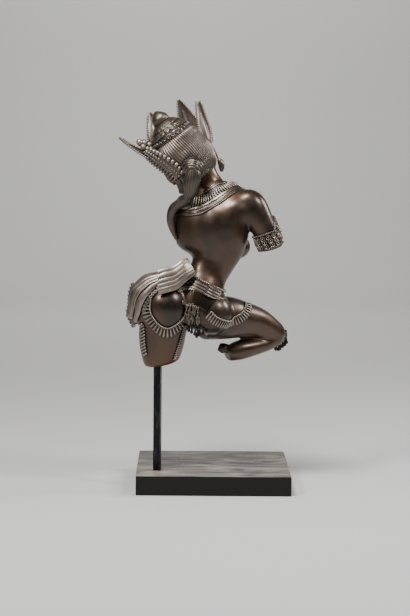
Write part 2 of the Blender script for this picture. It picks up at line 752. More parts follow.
def curl_stock(steps=12, sides=6):
    """A tendril rolled up on itself, facing z."""
    bm = bmesh.new()
    rings = []
    for step in range(steps + 1):
        share = step / steps
        angle = math.tau * CURL_TURNS * share
        out = Vector((math.cos(angle), math.sin(angle), 0))
        hub = out * (1 - 0.8 * share) + Vector((0, 0, 0.3 * share))
        thick = 0.3 - 0.12 * share
        rings.append(ring_round(bm, hub, out * thick, Vector((0, 0, thick)), sides))
    skin_over(bm, rings)
    return stock_of(bm, "curl")


def bead_stock():
    """A round bead."""
    bm = bmesh.new()
    bmesh.ops.create_icosphere(bm, subdivisions=2, radius=1)
    return stock_of(bm, "bead")


def setting_tree():
    """Sets one stock part on each point, turned and sized by the point's attributes."""
    tree, into, sockets = new_group(
        "setting", "GeometryNodeTree",
        {"Spots": "Geometry", "Stock": "Object", "Material": "Material"}, {"Set": "Geometry"})
    asked = {}
    for name in ("out", "along", "size"):
        asked[name] = node(tree, "GeometryNodeInputNamedAttribute", {"Name": name},
                           data_type='FLOAT_VECTOR').outputs["Attribute"]
    turn = node(tree, "FunctionNodeAxesToRotation",
                {"Primary Axis": asked["out"], "Secondary Axis": asked["along"]},
                primary_axis='Z', secondary_axis='Y')
    stock = node(tree, "GeometryNodeObjectInfo", {"Object": into["Stock"]})
    put = node(tree, "GeometryNodeInstanceOnPoints",
               {"Points": into["Spots"], "Instance": stock.outputs["Geometry"],
                "Rotation": turn.outputs[0], "Scale": asked["size"]})
    real = node(tree, "GeometryNodeRealizeInstances", {"Geometry": put.outputs[0]})
    named = node(tree, "GeometryNodeSetMaterial",
                 {"Geometry": real.outputs[0], "Material": into["Material"]})
    node(tree, "NodeGroupOutput", {"Set": named.outputs[0]})
    return tree, sockets


SETTING, SETTING_SOCKETS = setting_tree()
BEADS = bead_stock()
DROPS = long_stock("drop", DROP)
BARS = long_stock("bar", BAR)
PETALS = long_stock("petal", PETAL)
ROSETTES = rosette_stock()
CURLS = curl_stock()


def studded(name, spots, stock, material):
    """One piece of many like parts: each spot gives place, outward, along and size."""
    mesh = bpy.data.meshes.new(name)
    mesh.from_pydata([tuple(spot[0]) for spot in spots], [], [])
    for key, place in (("out", 1), ("along", 2), ("size", 3)):
        data = mesh.attributes.new(key, 'FLOAT_VECTOR', 'POINT')
        values = np.array([tuple(spot[place]) for spot in spots], dtype=np.float32)
        data.data.foreach_set("vector", values.ravel())
    made = shown(name, mesh)
    setter = made.modifiers.new("setting", 'NODES')
    setter.node_group = SETTING
    setter[SETTING_SOCKETS["Stock"]] = stock
    setter[SETTING_SOCKETS["Material"]] = material
    cast(applied(made), material)

# The collar. A broad band round the neck and over both shoulders, cast in low relief: two
# plain rims, a row of upright buds that are rubbed bright, and a beaded edge at the neck.
COLLAR_OUTER = [
    (30, -20, 265), (42, -26, 263), (54, -30, 262.5), (70, -33, 265.5), (84, -34, 272),
    (100, -33, 281.5), (117, -30, 293), (134, -22, 305), (148, 2, 312), (137, 24, 303),
    (118, 31, 289), (100, 34, 279), (84, 36, 274), (68, 37, 282), (52, 26, 298),
    (34, 12, 290), (26, -4, 275),
]
COLLAR_INNER = [
    (57, -18, 285), (62, -22, 290), (67, -25, 295), (74, -26, 301), (81, -25, 308),
    (89, -22, 314.5), (98, -16, 319.5), (107, -6, 322), (112, 6, 322), (110, 20, 316),
    (102, 32, 308), (92, 37, 301), (80, 38, 297), (68, 34, 294), (60, 24, 294),
    (55, 8, 293), (54, -8, 288),
]
COLLAR_SAMPLES, COLLAR_EASING = 288, 12
# share of the way from the outer rail to the inner one, height
COLLAR_PROFILE = [
    (-0.02, -2), (0.0, 1.8), (0.015, 2.5), (0.05, 2.5), (0.062, 2.0), (0.075, 2.0), (0.085, 2.5),
    (0.125, 2.5), (0.14, 1.1), (0.165, 1.1), (0.18, 2.1), (0.25, 2.1), (0.262, 1.5), (0.275, 1.5),
    (0.285, 2.1), (0.35, 2.1), (0.365, 0.3), (0.82, 0.3), (0.835, 2.0), (0.86, 2.0), (0.87, 1.2),
    (0.93, 1.2), (0.94, 2.0), (0.985, 2.0), (1.0, 1.2), (1.02, -2),
]
BUD_FOOT, BUD_HEAD = 0.38, 0.81
BUD_GAP, BUD_HALF, BUD_HIGH, BUD_LIFT = 5.0, 2.1, 2.4, 1.4
# share of the way, gap, size, lift
COLLAR_BEADS = (0.90, 2.2, 1.0, 1.4)


def snapped(place, lift=0.0):
    """The nearest place on the skin, lifted off it, and the skin's way out."""
    hit, out, _, _ = skin.find_nearest(place)
    return hit + out * lift, out


def lifted(line, lift):
    """A line of places and ways out, moved outwards."""
    return [(place + out * lift, out) for place, out in line]


def evenly(line, gap):
    """Places at even gaps along a line of places and ways out, with the way along. A line
    that ends at its start gives that place once."""
    places = np.array([tuple(place) for place, _ in line])
    last = -1 if np.allclose(places[0], places[-1]) else None
    outs = np.array([tuple(out) for _, out in line])
    far = np.concatenate(([0], np.cumsum(np.linalg.norm(np.diff(places, axis=0), axis=1))))
    count = max(2, round(far[-1] / gap) + 1)
    at = np.linspace(0, far[-1], count)
    spots = np.stack([np.interp(at, far, places[:, axis]) for axis in range(3)], axis=1)
    ways = np.stack([np.interp(at, far, outs[:, axis]) for axis in range(3)], axis=1)
    along = np.gradient(spots, axis=0)
    return [(Vector(p), Vector(o).normalized(), Vector(a).normalized())
            for p, o, a in zip(spots, ways, along)][:last]


def beads_on(line, gap, size):
    """Spots for beads on a line."""
    return [(place, out, along, (size, size, size)) for place, out, along in evenly(line, gap)]


def add_band(bm, lines):
    """A closed band round a limb, through lines of places and ways out with a height."""
    rings = []
    for line, height in lines:
        rings.append([bm.verts.new(place) for place, _ in lifted(line, height)])
    join_rings(bm, rings, closed=True)


def round_again(line):
    """A closed line that ends at its start."""
    return line + line[:1]


def closed_curve(stations, samples):
    """A smooth closed line through the stations, at even steps of their count."""
    count = len(stations)
    line = []
    for step in range(samples):
        at = count * step / samples
        i = int(at)
        around = [Vector(stations[(i + k) % count]) for k in (-1, 0, 1, 2)]
        line.append(blend(*around, at - i))
    return line


def eased(line, passes):
    """A closed line of places and ways out with its small steps smoothed away."""
    places = np.array([tuple(place) for place, _ in line])
    outs = np.array([tuple(out) for _, out in line])
    for _ in range(passes):
        places, outs = [(np.roll(a, 1, axis=0) + 2 * a + np.roll(a, -1, axis=0)) / 4
                        for a in (places, outs)]
    return [(Vector(p), Vector(o).normalized()) for p, o in zip(places, outs)]


def met(place):
    """The place on the back's skin straight in front of the one given; at the sides and on
    the breast, the nearest place."""
    hit = skin.ray_cast(Vector((place[0], -200, place[2])), Vector((0, 1, 0)))[0]
    return hit if hit and place[1] < -10 else snapped(Vector(place))[0]


def make_collar():
    """The band, the buds and the beads."""
    outer, inner = (closed_curve([met(place) for place in rail], COLLAR_SAMPLES)
                    for rail in (COLLAR_OUTER, COLLAR_INNER))

    def at(share):
        return eased([snapped(a.lerp(b, share)) for a, b in zip(outer, inner)], COLLAR_EASING)
    bm = bmesh.new()
    add_band(bm, [(at(share), rise) for share, rise in COLLAR_PROFILE])
    cast(made_from(bm, "collar"), band_bronze)
    feet, heads = (lifted(at(share), BUD_LIFT) for share in (BUD_FOOT, BUD_HEAD))
    buds = []
    for foot, out, _ in evenly(round_again(feet), BUD_GAP):
        near = min(range(COLLAR_SAMPLES), key=lambda k: (feet[k][0] - foot).length_squared)
        way = heads[near][0] + (foot - feet[near][0]) - foot
        buds.append((foot, out, way.normalized(), (BUD_HALF, way.length, BUD_HIGH)))
    studded("collar_buds", buds, PETALS, bright_bronze)
    share, gap, size, lift = COLLAR_BEADS
    beads = round_again(lifted(at(share), lift))
    studded("collar_beads", beads_on(beads, gap, size), BEADS, bright_bronze)


make_collar()

# The belt. Four cords side by side with a beaded upper edge, round the hips; at the back it
# carries a chased plaque, and a plain tab of cloth hangs out under it.
BELT_TOP = (84, 0, 150)
BELT_LEAN = math.radians(27)
BELT_AXIS = (-math.sin(BELT_LEAN), 0, -math.cos(BELT_LEAN))
BELT_REACH = 46
HOOP_SAMPLES, HOOP_EASING = 240, 3
BELT_PROFILE = [
    (-0.8, -2), (-0.3, 2.0), (1.2, 2.8), (2.8, 2.2), (3.6, 1.1), (5.0, 1.1), (5.8, 2.3), (8.0, 2.3),
    (8.8, 1.1), (10.0, 1.1), (10.8, 2.3), (13.0, 2.3), (13.8, 1.1), (15.0, 1.1), (15.8, 2.3),
    (18.0, 2.3), (18.8, 1.2), (19.6, 1.2), (20.2, 2.5), (22.2, 2.4), (23, -2),
]
TAB_RAILS = [[(61, -36, 138), (59, -42, 128), (60, -46, 115)],
             [(97, -36, 120), (90, -42, 112), (82, -46, 102)]]
PLAQUE_RAILS = [[(86, -36, 147), (97, -36, 142), (110, -34, 137)],
                [(75, -40, 130), (86, -40, 124), (99, -38, 118)]]
TAB_LIFT, TAB_THICK = 2.4, 2.2
PLAQUE_LIFT, PLAQUE_THICK = 4.4, 3.4
PLAQUE_LINES, PLAQUE_CHASING, PLAQUE_SINK = 4, 0.7, 0.5
PLAQUE_RIM, PLAQUE_RIM_HIGH = 0.1, 0.9
# place along the belt's axis, lift, gap, size
BELT_BEADS = (0.4, 2.6, 3.8, 2.1)


def hoop(foot, axis, at, reach):
    """The closed line round an axis where it leaves the skin, at a place along it that
    may change with the turn; each turn starts on the side of x."""
    foot, axis = Vector(foot), Vector(axis).normalized()
    side = (Vector((1, 0, 0)) - axis * axis.x).normalized()
    front = axis.cross(side)
    line = []
    for step in range(HOOP_SAMPLES):
        turn = math.tau * step / HOOP_SAMPLES
        way = side * math.cos(turn) + front * math.sin(turn)
        hub = foot + axis * (at(turn) if callable(at) else at)
        _, _, _, far = skin.ray_cast(hub, way)
        line.append((hub, way, min(far or reach, reach)))
    rounded = []
    for k, (hub, way, _) in enumerate(line):
        around = [line[(k + step) % HOOP_SAMPLES][2] for step in range(-HOOP_EASING, HOOP_EASING + 1)]
        rounded.append((hub + way * (sum(around) / len(around)), way))
    return rounded


def curve(stations, steps=8):
    """A smooth line through the stations."""
    return [Vector(row) for row in between([tuple(s) for s in stations], steps)]


def add_sheet(bm, grid, thick):
    """A closed sheet over a grid of places, thin at its rim."""
    rows, columns = len(grid), len(grid[0])
    spots = np.array([[tuple(p) for p in row] for row in grid])
    normal = np.cross(np.gradient(spots, axis=0), np.gradient(spots, axis=1))
    normal /= np.linalg.norm(normal, axis=2, keepdims=True) + 1e-9
    tops, bottoms = [], []
    for i in range(rows):
        tops.append([])
        bottoms.append([])
        for j in range(columns):
            rim = i in (0, rows - 1) or j in (0, columns - 1)
            half = normal[i, j] * thick * (0.25 if rim else 0.5)
            tops[-1].append(bm.verts.new(spots[i, j] + half))
            bottoms[-1].append(bm.verts.new(spots[i, j] - half))
    for i in range(rows - 1):
        for j in range(columns - 1):
            bm.faces.new((tops[i][j], tops[i + 1][j], tops[i + 1][j + 1], tops[i][j + 1]))
            bm.faces.new((bottoms[i][j], bottoms[i][j + 1], bottoms[i + 1][j + 1],
                          bottoms[i + 1][j]))
    rim = ([(0, j) for j in range(columns)] + [(i, columns - 1) for i in range(1, rows)]
           + [(rows - 1, j) for j in range(columns - 2, -1, -1)]
           + [(i, 0) for i in range(rows - 2, 0, -1)])
    for (i, j), (m, n) in zip(rim, rim[1:] + rim[:1]):
        bm.faces.new((tops[i][j], tops[m][n], bottoms[m][n], bottoms[i][j]))


def draped(rails, lift, columns=24, steps=8, ripple=None):
    """A grid laid on the skin between two rails, lifted by a height over it that may
    change with the shares across and along."""
    first, second = (curve(rail, steps) for rail in rails)
    grid = []
    for i, (a, b) in enumerate(zip(first, second)):
        row = []
        for j in range(columns + 1):
            share = j / columns
            rise = lift + (ripple(share, i / (len(first) - 1)) if ripple else 0)
            row.append(snapped(a.lerp(b, share), rise)[0])
        grid.append(row)
    return grid


def sheet(name, grid, thick, material):
    """A cast sheet of cloth or metal as a piece of its own."""
    bm = bmesh.new()
    add_sheet(bm, grid, thick)
    cast(made_from(bm, name), material)


def make_belt():
    """The cords, their beads, the plaque with its lines, and the tab."""
    bm = bmesh.new()
    lines = [(hoop(BELT_TOP, BELT_AXIS, at, BELT_REACH), rise) for at, rise in BELT_PROFILE]
    add_band(bm, lines)
    cast(made_from(bm, "belt"), band_bronze)
    at, lift, gap, size = BELT_BEADS
    edge = lifted(round_again(hoop(BELT_TOP, BELT_AXIS, at, BELT_REACH)), lift)
    studded("belt_beads", beads_on(edge, gap, size), BEADS, bright_bronze)
    sheet("belt_tab", draped(TAB_RAILS, TAB_LIFT), TAB_THICK, dark_bronze)

    def chased(across, along):
        if min(across, 1 - across, along, 1 - along) < PLAQUE_RIM:
            return PLAQUE_RIM_HIGH
        return PLAQUE_CHASING * abs(math.cos(math.pi * PLAQUE_LINES * across)) - PLAQUE_SINK
    grid = draped(PLAQUE_RAILS, PLAQUE_LIFT, columns=40, steps=16, ripple=chased)
    sheet("belt_plaque", grid, PLAQUE_THICK, carved_bronze)


make_belt()

# The armlet on the upper arm, where the cast is broken off: rows of round flowers between
# two corded rims, rising to a point on the outer side.
ARMLET_TOP = (183, -6, 236)
ARMLET_AXIS = (11, 2, -30)
ARMLET_WIDTH, ARMLET_REACH = 29, 27
ARMLET_PEAK, ARMLET_PEAK_HALF = 22, 0.8
ARMLET_PROFILE = [(-0.03, -2), (0, 2.2), (0.05, 3.0), (0.11, 2.2), (0.13, 1.0), (0.86, 1.0),
                  (0.88, 2.2), (0.94, 3.0), (0.99, 2.2), (1.02, -3)]
FLOWER_ROWS = [(0.27, 0), (0.5, 0.5), (0.76, 0)]
FLOWER_GAP, FLOWER_SIZE, FLOWER_HIGH, FLOWER_LIFT = 10.2, 4.6, 4.8, 1.4
ARMLET_RIMS = (0.05, 0.94)
# lift, gap, size
ARMLET_BEADS = (2.8, 3.2, 1.6)


def armlet_line(share):
    """The line round the arm at a share of the armlet's width, with its peak at the side."""
    def at(turn):
        aside = abs((turn + math.pi) % math.tau - math.pi)
        top = -ARMLET_PEAK * max(0.0, 1 - aside / ARMLET_PEAK_HALF)
        return top + share * (ARMLET_WIDTH - top)
    return hoop(ARMLET_TOP, ARMLET_AXIS, at, ARMLET_REACH)


def make_armlet():
    """The band with its two rims, and the flowers in staggered rows."""
    bm = bmesh.new()
    add_band(bm, [(armlet_line(share), rise) for share, rise in ARMLET_PROFILE])
    cast(made_from(bm, "armlet"), dark_bronze)
    flowers = []
    for share, shift in FLOWER_ROWS:
        line = lifted(round_again(armlet_line(share)), FLOWER_LIFT)
        for place, out, way in evenly(line, FLOWER_GAP):
            flowers.append((place + way * shift * FLOWER_GAP, out, way,
                            (FLOWER_SIZE, FLOWER_SIZE, FLOWER_HIGH)))
    studded("armlet_flowers", flowers, ROSETTES, bright_bronze)
    rims = []
    lift, gap, size = ARMLET_BEADS
    for share in ARMLET_RIMS:
        rims += beads_on(lifted(round_again(armlet_line(share)), lift), gap, size)
    studded("armlet_beads", rims, BEADS, carved_bronze)


make_armlet()

# The cloth. Its pleated end stands off behind the left hip as a fan, two folds run round
# the hip under it, and a frilled end hangs down below the belt's tab.
FAN_TOP = [(50, -32, 191), (41, -38, 189), (26, -44, 179), (9, -48, 175), (1, -50, 171)]
FAN_LOW = [(65, -38, 166), (50, -48, 156), (34, -54, 142), (21, -57, 137), (2, -58, 132)]
FAN_PLEATS, FAN_SWELL, FAN_THICK = 5, 4, 3.0
FAN_FOOT_DEPTH, FAN_END_DEPTH, FAN_TEETH = 0.1, 1.1, 2.0
FAN_STEPS, FAN_COLUMNS = 12, 72
OUTER_FOLD = [[(4, -22, 172), (-20, -16, 158), (-42, -14, 145), (-50, -12, 128), (-50, -12, 106),
               (-50, -14, 90)],
              [(4, -50, 160), (-12, -46, 150), (-27, -42, 135), (-36, -38, 121), (-39, -34, 104),
               (-44, -28, 86)]]
INNER_FOLD = [[(6, -52, 158), (-11, -48, 148), (-25, -44, 133), (-34, -40, 119), (-37, -37, 103),
               (-40, -32, 84)],
              [(8, -56, 150), (-4, -53, 144), (-18, -50, 129), (-27, -46, 112), (-31, -42, 97),
               (-38, -35, 80)]]
FRILL_FEET = [(50, -50, 115), (59, -51, 114), (69, -48, 110)]
FRILL_TOES = [(46, -50, 92), (55, -52, 78), (68, -50, 84)]
FRILL_ROWS, FRILL_COUNT, FRILL_STEP = 3, 6, 0.3
FRILL_HALF, FRILL_LONG, FRILL_HIGH = 2.2, 0.42, 2.4
FRILL_FOOT, FRILL_SINK, FRILL_LEAN = -2, 1.2, 0.3
FRILL_HALF_CHANGE, FRILL_LONG_CHANGE = 0.5, 0.12
BACKWARDS = Vector((0, -1, 0))
FOLD_SWELL = 2.2
# name, rails, lift, thickness, depth of its lines, their count, columns
FOLDS = [("hip_fold_outer", OUTER_FOLD, 1.4, 2.6, 1.1, 4, 36),
         ("hip_fold_inner", INNER_FOLD, 2.6, 3.0, 0.4, 1, 24)]


def make_fan():
    """The fan of pleats, which grow deeper and end in teeth."""
    grid = []
    rails = [curve(rail, FAN_STEPS) for rail in (FAN_TOP, FAN_LOW)]
    for i, (top, low) in enumerate(zip(*rails)):
        share = i / (len(rails[0]) - 1)
        depth = FAN_FOOT_DEPTH + (FAN_END_DEPTH - FAN_FOOT_DEPTH) * share
        row = []
        for j in range(FAN_COLUMNS + 1):
            across = j / FAN_COLUMNS
            pleat = abs(math.cos(math.pi * FAN_PLEATS * across ** 1.3)) ** 0.8
            swell = FAN_SWELL * math.sin(math.pi * across) ** 0.5 + depth * pleat
            tooth = FAN_TEETH * share ** 5 * pleat
            row.append(top.lerp(low, across) + Vector((-tooth, -swell, 0)))
        grid.append(row)
    sheet("cloth_fan", grid, FAN_THICK, bright_bronze)


def make_frill():
    """Rows of small ragged folds, one over the other, of uneven length and lean."""
    feet, toes = curve(FRILL_FEET, FRILL_COUNT), curve(FRILL_TOES, FRILL_COUNT)
    folds = []
    for row in range(FRILL_ROWS):
        for k in range(row % 2, len(feet), 2):
            uneven = math.sin(2.4 * k + 1.7 * row)
            fall = toes[k] - feet[k]
            sunk = Vector((0, FRILL_FOOT + FRILL_SINK * row, 0))
            place = feet[k] + fall * (FRILL_STEP * row) + sunk
            way = (fall.normalized() + Vector((FRILL_LEAN * uneven, 0, 0))).normalized()
            length = fall.length * (FRILL_LONG + FRILL_LONG_CHANGE * uneven)
            half = FRILL_HALF + FRILL_HALF_CHANGE * uneven
            folds.append((place, BACKWARDS, way, (half, length, FRILL_HIGH)))
    studded("cloth_frill", folds, PETALS, carved_bronze)


def fold_ripple(depth, waves):
    """Soft lines along a fold, round at its edges."""
    def ripple(across, _):
        return (FOLD_SWELL * math.sin(math.pi * across) ** 0.6
                + depth * abs(math.cos(math.pi * waves * across)))
    return ripple


make_fan()
for name, rails, lift, thick, depth, waves, columns in FOLDS:
    sheet(name, draped(rails, lift, columns, ripple=fold_ripple(depth, waves)), thick, bright_bronze)
make_frill()

# The garlands and strands. Beaded cords lie round both buttocks with a fringe of drops;
# strands of bars run down both sides of the left thigh; curls and tassels fill the middle.
LEFT_CORD = [(-4, -46, 142), (-11, -50, 122), (-12, -52, 102), (-6, -54, 88), (5, -52, 77),
             (18, -52, 72), (31, -52, 76), (42, -50, 86), (48, -46, 99)]
LEFT_MIDDLE = (17, -60, 108)
RIGHT_CORD = [(91, -44, 101), (103, -40, 91), (124, -24, 86), (142, 0, 94), (150, 14, 104),
              (149, 24, 110)]
RIGHT_MIDDLE = (120, -30, 134)
OUTER_STRAND = [(-26, -30, 84), (-24, -28, 62), (-24, -26, 46), (-21, -22, 26)]
INNER_STRAND = [(42, -30, 78), (40, -29, 60), (37, -28, 44), (30, -24, 18)]
HIP_CURLS = [(-42, -20, 145), (-47, -18, 130), (-48, -18, 112), (-50, -18, 94), (-42, -18, 76)]
HIP_WAY = (-0.5, -0.85, 0)
FOLD_CURLS = [(-2, -56, 145), (-9, -55, 137), (-15, -54, 127), (-21, -53, 116), (-25, -50, 102)]
CURLS_LOW = [(40, -48, 117), (50, -50, 114), (58, -50, 113)]
CURLS_HIGH = [(36, -48, 137), (46, -44, 143), (57, -42, 141)]
# route, middle of the arc, length of its drops
GARLANDS = [(LEFT_CORD, LEFT_MIDDLE, 18), (RIGHT_CORD, RIGHT_MIDDLE, 16)]
CORD_HALF, CORD_LIFT = 1.4, 1.4
# lift, gap, size
CORD_BEADS = (0.9, 3.1, 1.5)
DROP_GAP, DROP_HALF, DROP_LIFT = 4.7, 1.95, 1.8
# route, gap, length and half width of its bars
STRANDS = [(OUTER_STRAND, 5.4, 14, 2.3), (INNER_STRAND, 4.4, 8, 1.8)]
STRAND_LIFT, STRAND_SLANT = 1.5, 0.45
# route, gap, size
CURL_ROWS = [(FOLD_CURLS, 5.4, 3.4), (CURLS_LOW, 5.0, 3.6), (CURLS_HIGH, 5.0, 3.4)]
CURL_LIFT = 3.4
HIP_CURL_GAP, HIP_CURL_SIZE = 6.6, (5.2, 5.2, 4.0)


def laid(stations, lift):
    """A smooth line laid on the skin: a list of places and ways out."""
    return [snapped(place, lift) for place in curve(stations)]


def fringe_on(line, middle, gap, length, half, lift):
    """Spots for parts that lie on the skin and point away from a middle."""
    spots = []
    for place, out, _ in evenly(line, gap):
        away = place - Vector(middle)
        away = (away - out * away.dot(out)).normalized()
        foot, _ = snapped(place, lift)
        toe, toe_out = snapped(place + away * length, lift)
        way = toe - foot
        spots.append((foot, (out + toe_out).normalized(), way.normalized(),
                      (half, way.length, half * 0.8)))
    return spots


def add_tube(bm, line, half, sides=8):
    """A closed round cord along a line; its half width may change with the share along."""
    rings = []
    last = len(line) - 1
    for i, (place, out) in enumerate(line):
        along = (line[min(i + 1, last)][0] - line[max(i - 1, 0)][0]).normalized()
        side = along.cross(out).normalized()
        thick = half(i / last) if callable(half) else half
        rings.append(ring_round(bm, place, side * thick, side.cross(along) * thick, sides))
    skin_over(bm, rings)


def make_garlands():
    """Cords, beads and drops of both sides, the strands of bars, and the curls."""
    bm = bmesh.new()
    beads, drops, bars = [], [], []
    lift, gap, size = CORD_BEADS
    for stations, middle, length in GARLANDS:
        line = laid(stations, CORD_LIFT)
        add_tube(bm, line, CORD_HALF)
        beads += beads_on(lifted(line, lift), gap, size)
        drops += fringe_on(line, middle, DROP_GAP, length, DROP_HALF, DROP_LIFT)
    cast(made_from(bm, "garland_cords"), carved_bronze)
    studded("garland_beads", beads, BEADS, bright_bronze)
    studded("garland_drops", drops, DROPS, bright_bronze)
    for stations, gap, length, half in STRANDS:
        for place, out, along in evenly(laid(stations, STRAND_LIFT), gap):
            across = out.cross(along).normalized()
            way = (across * (1 if across.x > 0 else -1) - along * STRAND_SLANT).normalized()
            bars.append((place - way * length / 2, out, way, (half, length, half)))
    studded("strand_bars", bars, BARS, bright_bronze)
    curls = []
    for stations, gap, size in CURL_ROWS:
        curls += beads_on(laid(stations, CURL_LIFT), gap, size)
    way = Vector(HIP_WAY).normalized()
    for place, out, along in evenly([(place, way) for place in curve(HIP_CURLS)], HIP_CURL_GAP):
        curls.append((place, out, along, HIP_CURL_SIZE))
    studded("curls", curls, CURLS, bright_bronze)


make_garlands()

# The tassels. Beaded strings that end in drops, hanging dark between the thighs and, cut
# short, at the outer side of the knee.
TASSEL_FEET = [(57, -48, 106), (71, -47, 108), (88, -42, 100)]
TASSEL_TOES = [(50, -40, 66), (66, -38, 54), (86, -34, 62)]
KNEE_FEET = [(206, 76, 44), (218, 84, 56), (226, 94, 54)]
KNEE_TOES = [(199, 78, 24), (213, 84, 14), (228, 96, 28)]
# upper line, lower line, count, size of a bead
TASSELS = [(TASSEL_FEET, TASSEL_TOES, 9, 2.3), (KNEE_FEET, KNEE_TOES, 8, 2.5)]
# gap between beads, and the drop's half width, length and half height, in bead sizes
TASSEL_KNOT, TASSEL_DROP = 1.7, (1.15, 5, 1.15)


def add_tassels(beads, drops, feet, toes, count, size):
    """Strings between two curves, each of beads with a drop at its end."""
    feet, toes = curve(feet, 10), curve(toes, 10)
    for k in range(count):
        index = round((len(feet) - 1) * k / (count - 1))
        foot, toe = feet[index], toes[index]
        way = (toe - foot).normalized()
        step = TASSEL_KNOT * size
        knots = max(1, int((toe - foot).length / step) - 3)
        for knot in range(knots):
            beads.append((foot + way * step * knot, BACKWARDS, way, (size, size, size)))
        drops.append((foot + way * step * (knots - 0.4), BACKWARDS, way,
                      [size * times for times in TASSEL_DROP]))


def make_tassels():
    """The two bunches."""
    beads, drops = [], []
    for feet, toes, count, size in TASSELS:
        add_tassels(beads, drops, feet, toes, count, size)
    studded("tassel_beads", beads, BEADS, dark_bronze)
    studded("tassel_drops", drops, DROPS, dark_bronze)


make_tassels()

# The cover's dress: a band of round flowers at its foot between bead lines, and curling
# tendrils chased all over the dome.
ROUND_GAP = 2.1

# radius, rise, size, way out upwards, height
COVER_FLOWERS = (37.6, 37.0, 3.6, 0.3, 2.2)
COVER_CURLS = [(31.2, 48.6, 4.4, 0.9, 1.3), (25.8, 55.6, 3.6, 1.1, 1.3)]
COVER_BEADS = [(38.6, 32.4, 0.9, 0.1, 0.9), (34.6, 43.0, 0.8, 0.7, 0.8)]


def round_crown(radius, rise, size, lift, high, shift=0.0):
    """Spots side by side on a circle round the crown's axis."""
    count = round(math.tau * radius / (ROUND_GAP * size))
    spots = []
    for k in range(count):
        angle = math.tau * (k + shift) / count
        out = Vector((math.cos(angle), math.sin(angle), lift)).normalized()
        way = Vector((-math.sin(angle), math.cos(angle), 0))
        place = Vector((radius * math.cos(angle), radius * math.sin(angle) - COVER_BACK, rise))
        spots.append((AT_CROWN @ place, CROWN_TURN @ out, CROWN_TURN @ way, (size, size, high)))
    return spots


def dress_cover():
    """The flowers, the tendrils and the bead lines."""
    studded("cover_flowers", round_crown(*COVER_FLOWERS), ROSETTES, carved_bronze)
    curls = []
    for row, ring in enumerate(COVER_CURLS):
        curls += round_crown(*ring, shift=row * 0.5)
    studded("cover_curls", curls, CURLS, carved_bronze)
    beads = []
    for ring in COVER_BEADS:
        beads += round_crown(*ring)
    studded("cover_beads", beads, BEADS, carved_bronze)


dress_cover()

# The crown's leaves. Thin pointed plates round the brow, hollowed to the inside, with a
# ridge like a drop in the middle and beads along their edges; the second is broken short.
LEAF_THICK, LEAF_BULGE, LEAF_RIDGE, LEAF_HOLLOW, LEAF_SINK = 2.6, 2.5, 2.6, 2.6, 1.2
LEAF_BEAD, LEAF_BEAD_GAP, LEAF_BEADED = 2.1, 4.0, 0.93
LEAF_STEPS, LEAF_COLUMNS = 40, 28

# foot, tip, the way it faces, half width, share of it at the foot, half width at the tip,
# how strong its ridge is
LEAVES = [
    ((-53, 2, 30), (-75, 2, 86), (-1, 0.4, 0), 15, 1.0, 0.5, 1.0),
    ((-37, 28, 34), (-43, 33, 60), (-0.8, 0.6, 0), 12, 1.0, 7, 0.6),
    ((-21, 40, 30), (-2, 47, 92), (-0.5, 0.87, 0), 26, 0.9, 3.5, 0.3),
    ((37, 32, 22), (51, 35, 80), (0.1, 1, 0), 20, 0.95, 2.5, 0.8),
    ((47, 12, -10), (75, 20, 59), (-0.35, 0.93, 0), 13.5, 0.5, 5, 1.6),
]


def leaf_grid(foot, tip, facing, half_width, at_foot, half_tip, strength):
    """The leaf's places, from foot to tip, with its way out."""
    foot, tip = AT_CROWN @ Vector(foot), AT_CROWN @ Vector(tip)
    up = (tip - foot).normalized()
    out = CROWN_TURN @ Vector(facing)
    out = (out - up * out.dot(up)).normalized()
    across = up.cross(out)
    grid = []
    for i in range(LEAF_STEPS + 1):
        share = i / LEAF_STEPS
        swell = at_foot + (1 - at_foot) * math.sin(math.pi / 2 * min(share / 0.4, 1))
        width = half_tip + (half_width * swell - half_tip) * (1 - share ** 1.25)
        middle = foot.lerp(tip, share) + out * LEAF_BULGE * math.sin(math.pi * share)
        drop = max(0.0, math.sin(math.pi * min(share * 1.45, 1))) ** 0.7
        row = []
        for j in range(LEAF_COLUMNS + 1):
            aside = 2 * j / LEAF_COLUMNS - 1
            near = aside * width / (1.2 + 4.2 * drop * (1 - share) ** 1.5)
            ridge = LEAF_RIDGE * strength * drop * math.exp(-near * near)
            hollow = LEAF_HOLLOW * (1 - aside * aside)
            row.append(middle + across * width * aside + out * (hollow - ridge - LEAF_SINK))
        grid.append(row)
    return grid, out


def make_leaves():
    """The plates and their beads."""
    bm = bmesh.new()
    beads = []
    for leaf in LEAVES:
        grid, out = leaf_grid(*leaf)
        add_sheet(bm, grid, LEAF_THICK)
        for edge in (0, LEAF_COLUMNS):
            rim = grid[:int(LEAF_BEADED * LEAF_STEPS)]
            beads += beads_on([(row[edge], out) for row in rim], LEAF_BEAD_GAP, LEAF_BEAD)
    cast(made_from(bm, "crown_leaves"), leaf_bronze)
    studded("crown_leaf_beads", beads, BEADS, bright_bronze)


make_leaves()

# The diadem. The band that carries the leaves, from temple to temple, with a plate at the
# left temple that runs down to the ear, large beads along the hair, and ear pendants.
DIADEM = [(-46, 6, 6), (-53, 2, 28), (-37, 28, 32), (-11, 42, 28), (33, 30, 22), (48, 15, -4)]
DIADEM_HALF_HIGH, DIADEM_THICK, DIADEM_RELIEF = 7, 6, 1.2
# lift, rise, gap, size
DIADEM_BEADS = (5.0, 5.5, 3.4, 1.6)
TEMPLE_RAILS = [
    [(-40, -16, 36), (-34, -32, 21), (-29, -38, 7), (-24, -40, -8), (-23, -36, -24)],
    [(-59, -2, 42), (-56, -6, 24), (-52, -8, 8), (-47, -10, -10), (-42, -12, -30)],
]
TEMPLE_SWELL, TEMPLE_THICK = 3, 5
